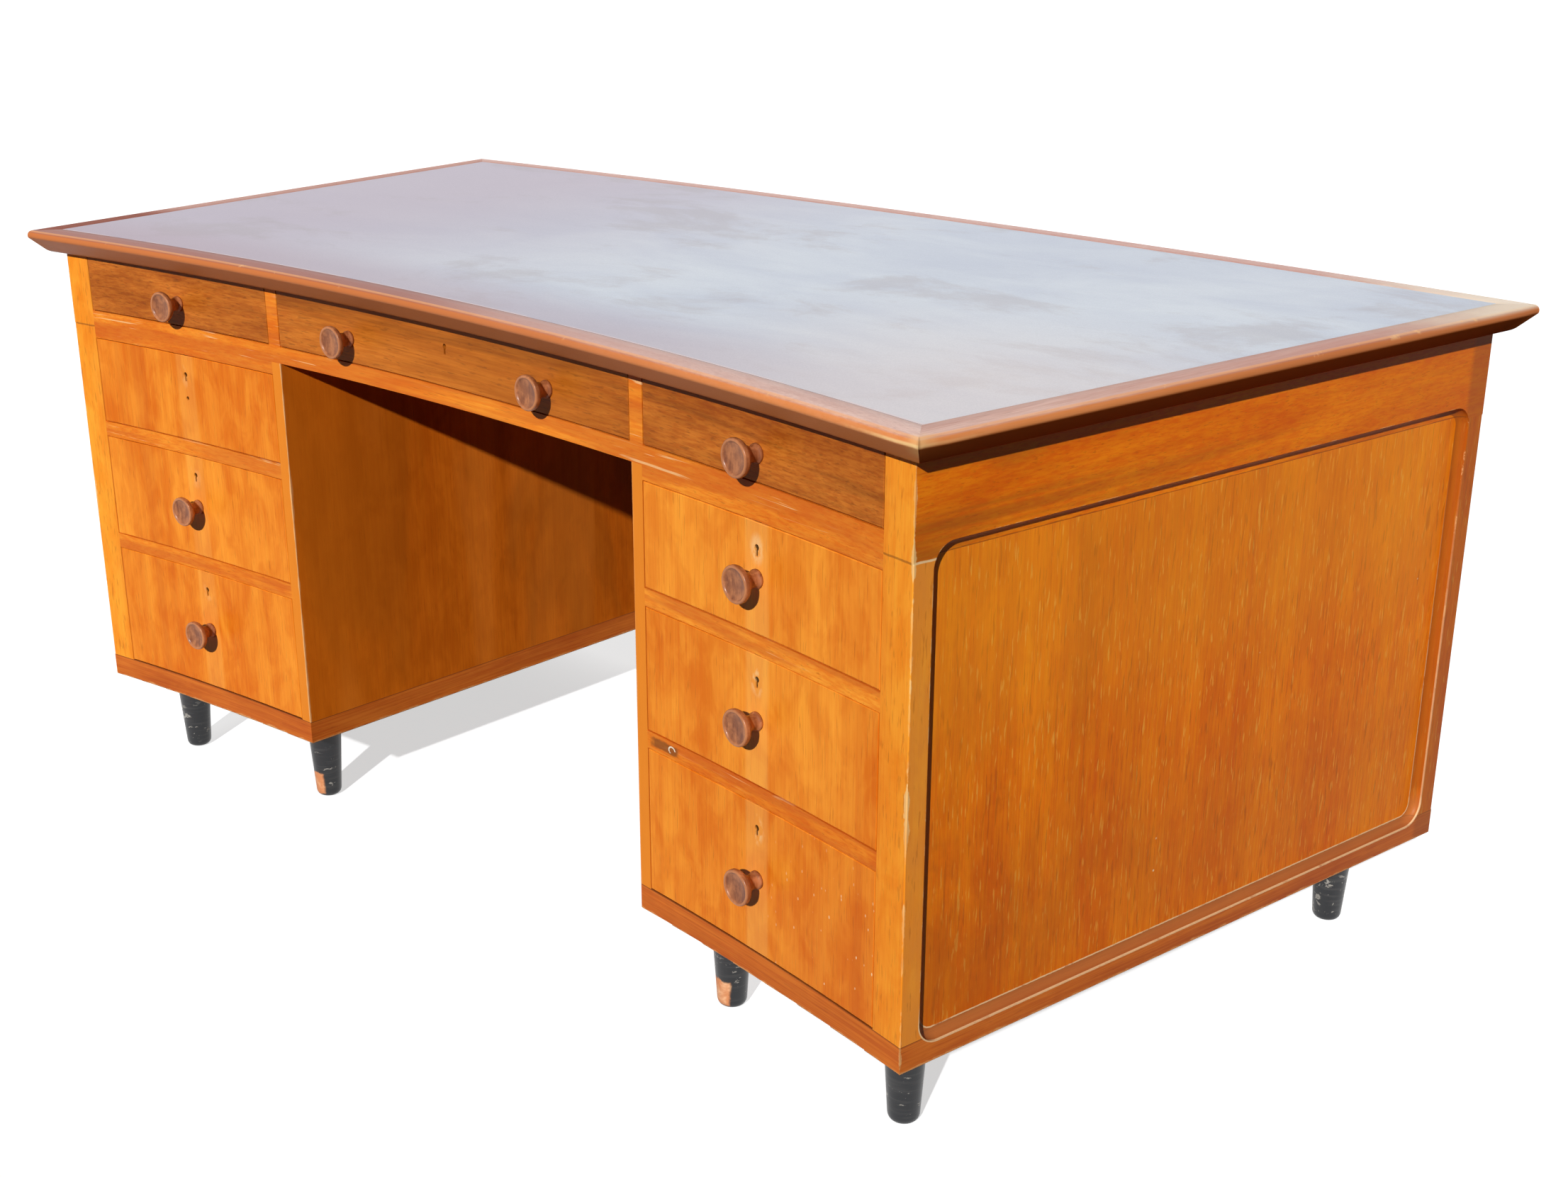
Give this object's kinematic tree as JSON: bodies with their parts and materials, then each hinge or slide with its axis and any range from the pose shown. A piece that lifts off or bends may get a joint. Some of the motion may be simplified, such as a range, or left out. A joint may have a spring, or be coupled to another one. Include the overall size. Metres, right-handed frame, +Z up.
{
  "type": "pedestal desk",
  "caption": "Curved kneehole desk with two drawer pedestals on short round legs, frieze drawers and an inset writing surface.",
  "frame": {"origin": "on the floor, under the middle of the top's outline", "axes": "+Z up, -Y out of the drawer front, +X along the front to the right as the sitter sees it"},
  "size_m": [1.818, 0.936, 0.762],
  "materials": {
    "lipping_wood": "polished, worn",
    "panel_core": "polished, worn",
    "carcass_wood": "polished, worn",
    "drawer_lining": "polished, worn",
    "frieze_front_wood": "polished, worn",
    "knob_wood": "polished, worn",
    "lock_metal": "dull",
    "frieze_end_wood": "polished, worn",
    "drawer_front_wood": "polished, worn",
    "base_wood": "polished, worn",
    "rail_wood": "polished, worn",
    "end_panel_wood": "polished, worn",
    "inner_side_wood": "polished, worn",
    "ebonised_wood": "ebonised, paint worn off the feet",
    "writing_leather": "blue-grey, worn"
  },
  "bodies": {
    "carcass": {"desktop_lipping": "lipping_wood", "desktop_panel": "panel_core", "frieze_back": "carcass_wood", "frieze_base": "carcass_wood", "frieze_end_left": "frieze_end_wood", "frieze_end_right": "frieze_end_wood", "frieze_partition_left": "carcass_wood", "frieze_partition_right": "carcass_wood", "frieze_post_left": "carcass_wood", "frieze_post_right": "carcass_wood", "left_pedestal_back_panel": "carcass_wood", "left_pedestal_back_post": "carcass_wood", "left_pedestal_base": "base_wood", "left_pedestal_dividers": "rail_wood", "left_pedestal_end_panel": "end_panel_wood", "left_pedestal_front_post": "carcass_wood", "left_pedestal_inner_side": "inner_side_wood", "left_pedestal_legs": "ebonised_wood", "right_pedestal_back_panel": "carcass_wood", "right_pedestal_back_post": "carcass_wood", "right_pedestal_base": "base_wood", "right_pedestal_dividers": "rail_wood", "right_pedestal_end_panel": "end_panel_wood", "right_pedestal_front_post": "carcass_wood", "right_pedestal_inner_side": "inner_side_wood", "right_pedestal_legs": "ebonised_wood", "writing_surface": "writing_leather"},
    "frieze_drawer_centre": {"frieze_drawer_centre_box": "drawer_lining", "frieze_drawer_centre_front": "frieze_front_wood", "frieze_drawer_centre_knobs": "knob_wood", "frieze_drawer_centre_lock": "lock_metal"},
    "frieze_drawer_left": {"frieze_drawer_left_box": "drawer_lining", "frieze_drawer_left_front": "frieze_front_wood", "frieze_drawer_left_knob": "knob_wood"},
    "frieze_drawer_right": {"frieze_drawer_right_box": "drawer_lining", "frieze_drawer_right_front": "frieze_front_wood", "frieze_drawer_right_knob": "knob_wood"},
    "left_drawer_lower": {"left_drawer_lower_box": "drawer_lining", "left_drawer_lower_front": "drawer_front_wood", "left_drawer_lower_knob": "knob_wood", "left_drawer_lower_lock": "lock_metal"},
    "left_drawer_middle": {"left_drawer_middle_box": "drawer_lining", "left_drawer_middle_front": "drawer_front_wood", "left_drawer_middle_knob": "knob_wood", "left_drawer_middle_lock": "lock_metal"},
    "left_drawer_upper": {"left_drawer_upper_box": "drawer_lining", "left_drawer_upper_front": "drawer_front_wood", "left_drawer_upper_lock": "lock_metal"},
    "right_drawer_lower": {"right_drawer_lower_box": "drawer_lining", "right_drawer_lower_front": "drawer_front_wood", "right_drawer_lower_knob": "knob_wood", "right_drawer_lower_lock": "lock_metal"},
    "right_drawer_middle": {"right_drawer_middle_box": "drawer_lining", "right_drawer_middle_front": "drawer_front_wood", "right_drawer_middle_knob": "knob_wood", "right_drawer_middle_lock": "lock_metal"},
    "right_drawer_upper": {"right_drawer_upper_box": "drawer_lining", "right_drawer_upper_front": "drawer_front_wood", "right_drawer_upper_knob": "knob_wood", "right_drawer_upper_lock": "lock_metal"}
  },
  "joints": [
    {"name": "frieze_drawer_centre_slide", "type": "slide", "parent": "carcass", "child": "frieze_drawer_centre", "axis": [0, -1, 0], "range_m": [0, 0.37]},
    {"name": "frieze_drawer_left_slide", "type": "slide", "parent": "carcass", "child": "frieze_drawer_left", "axis": [0, -1, 0], "range_m": [0, 0.37]},
    {"name": "frieze_drawer_right_slide", "type": "slide", "parent": "carcass", "child": "frieze_drawer_right", "axis": [0, -1, 0], "range_m": [0, 0.37]},
    {"name": "left_drawer_lower_slide", "type": "slide", "parent": "carcass", "child": "left_drawer_lower", "axis": [0, -1, 0], "range_m": [0, 0.4]},
    {"name": "left_drawer_middle_slide", "type": "slide", "parent": "carcass", "child": "left_drawer_middle", "axis": [0, -1, 0], "range_m": [0, 0.4]},
    {"name": "left_drawer_upper_slide", "type": "slide", "parent": "carcass", "child": "left_drawer_upper", "axis": [0, -1, 0], "range_m": [0, 0.4]},
    {"name": "right_drawer_lower_slide", "type": "slide", "parent": "carcass", "child": "right_drawer_lower", "axis": [0, -1, 0], "range_m": [0, 0.4]},
    {"name": "right_drawer_middle_slide", "type": "slide", "parent": "carcass", "child": "right_drawer_middle", "axis": [0, -1, 0], "range_m": [0, 0.4]},
    {"name": "right_drawer_upper_slide", "type": "slide", "parent": "carcass", "child": "right_drawer_upper", "axis": [0, -1, 0], "range_m": [0, 0.4]}
  ]
}
